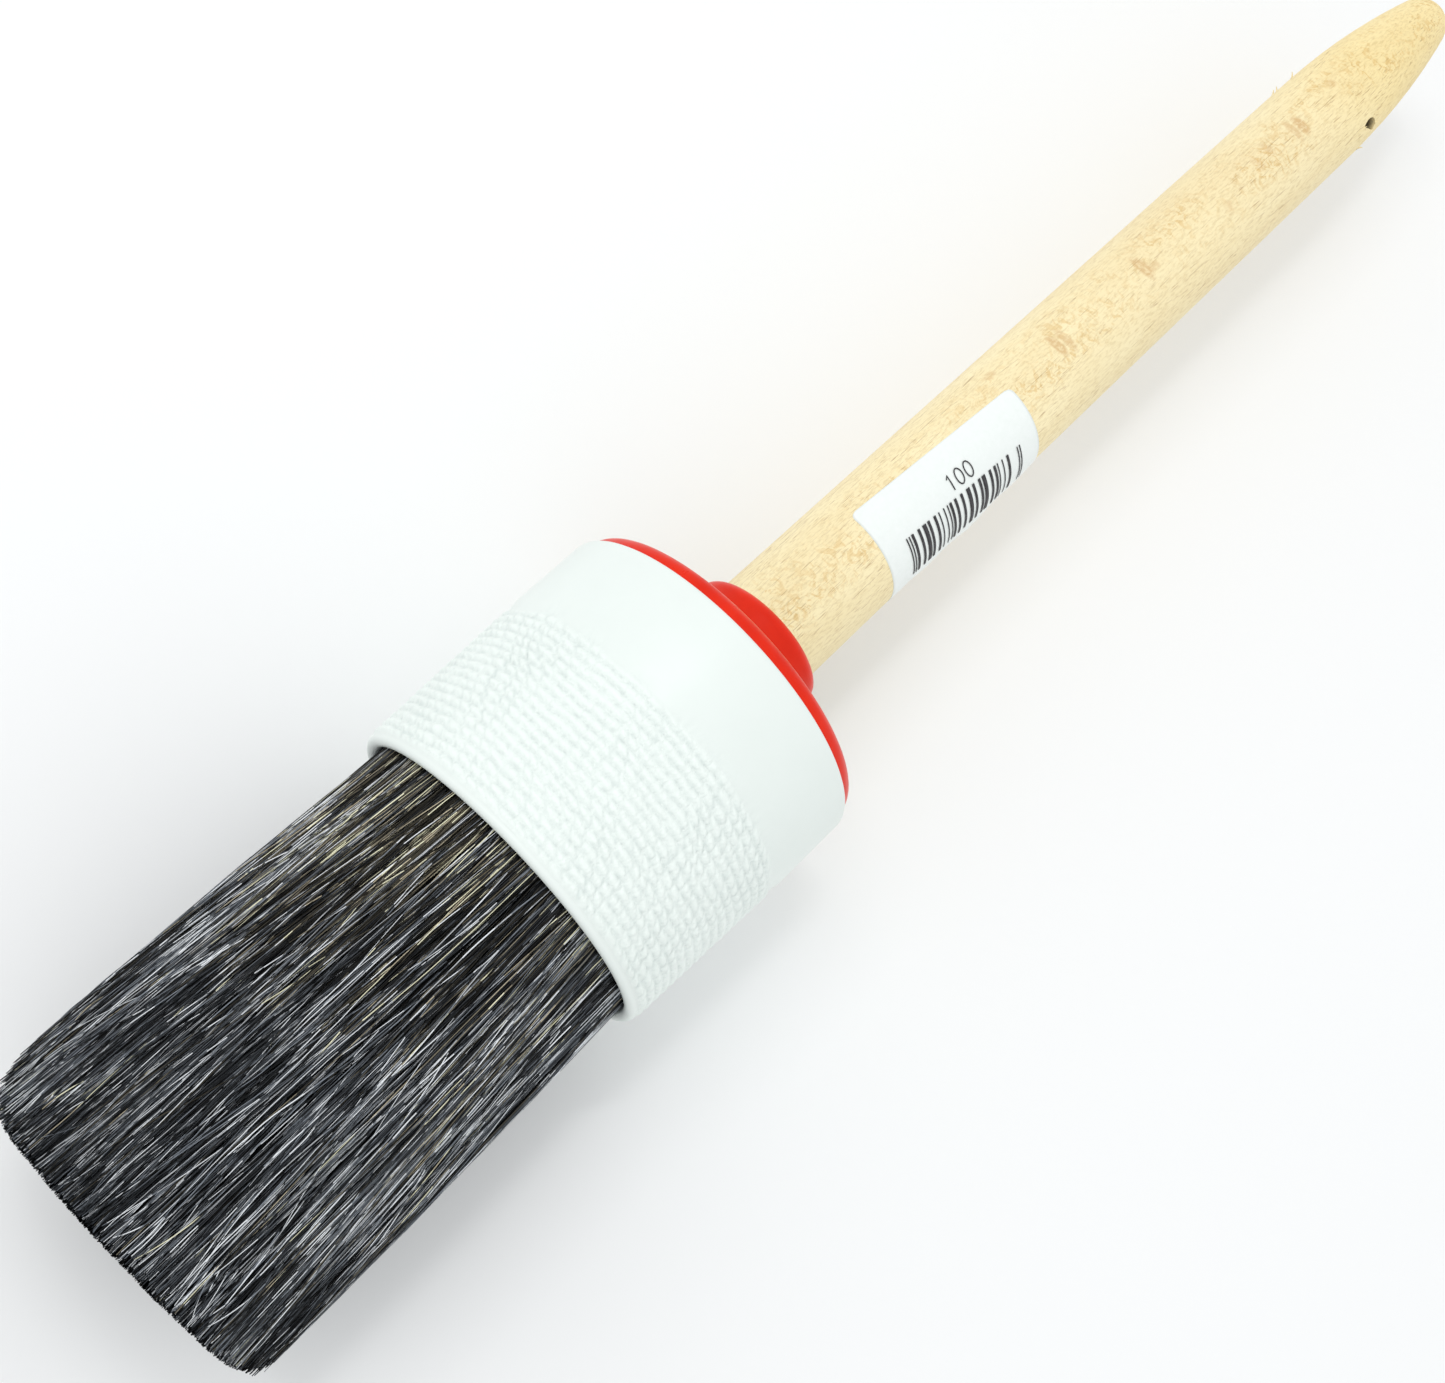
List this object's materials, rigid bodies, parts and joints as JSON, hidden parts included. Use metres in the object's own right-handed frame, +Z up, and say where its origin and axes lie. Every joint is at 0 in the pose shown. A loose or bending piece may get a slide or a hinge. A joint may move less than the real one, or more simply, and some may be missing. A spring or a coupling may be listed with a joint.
{
  "type": "round stencil brush",
  "caption": "Round stencil brush: a thick bundle of dark bristles cut flat, in a ribbed white collar with a red cap, on a long turned beech handle with a hanging hole.",
  "frame": {"origin": "on the surface the brush lies on, under the middle of its overall length", "axes": "+X along the brush from the bristle tips to the handle's nose, +Z up; the brush lies on its collar with its axis level"},
  "size_m": [0.3226, 0.0602, 0.0602],
  "materials": {
    "beech": "sanded, unvarnished pale beech",
    "red_plastic": "satin moulded polypropylene",
    "white_plastic": "satin moulded plastic with moulded cord winding",
    "dark_bristle": "stiff mixed black, grey and brown bristle",
    "resin": "cast setting resin",
    "label_paper": "uncoated white adhesive paper"
  },
  "bodies": {
    "root": {"handle": "beech", "red_cap": "red_plastic", "collar": "white_plastic", "bristles": "dark_bristle", "setting_resin": "resin", "price_label": "label_paper"}
  },
  "joints": []
}
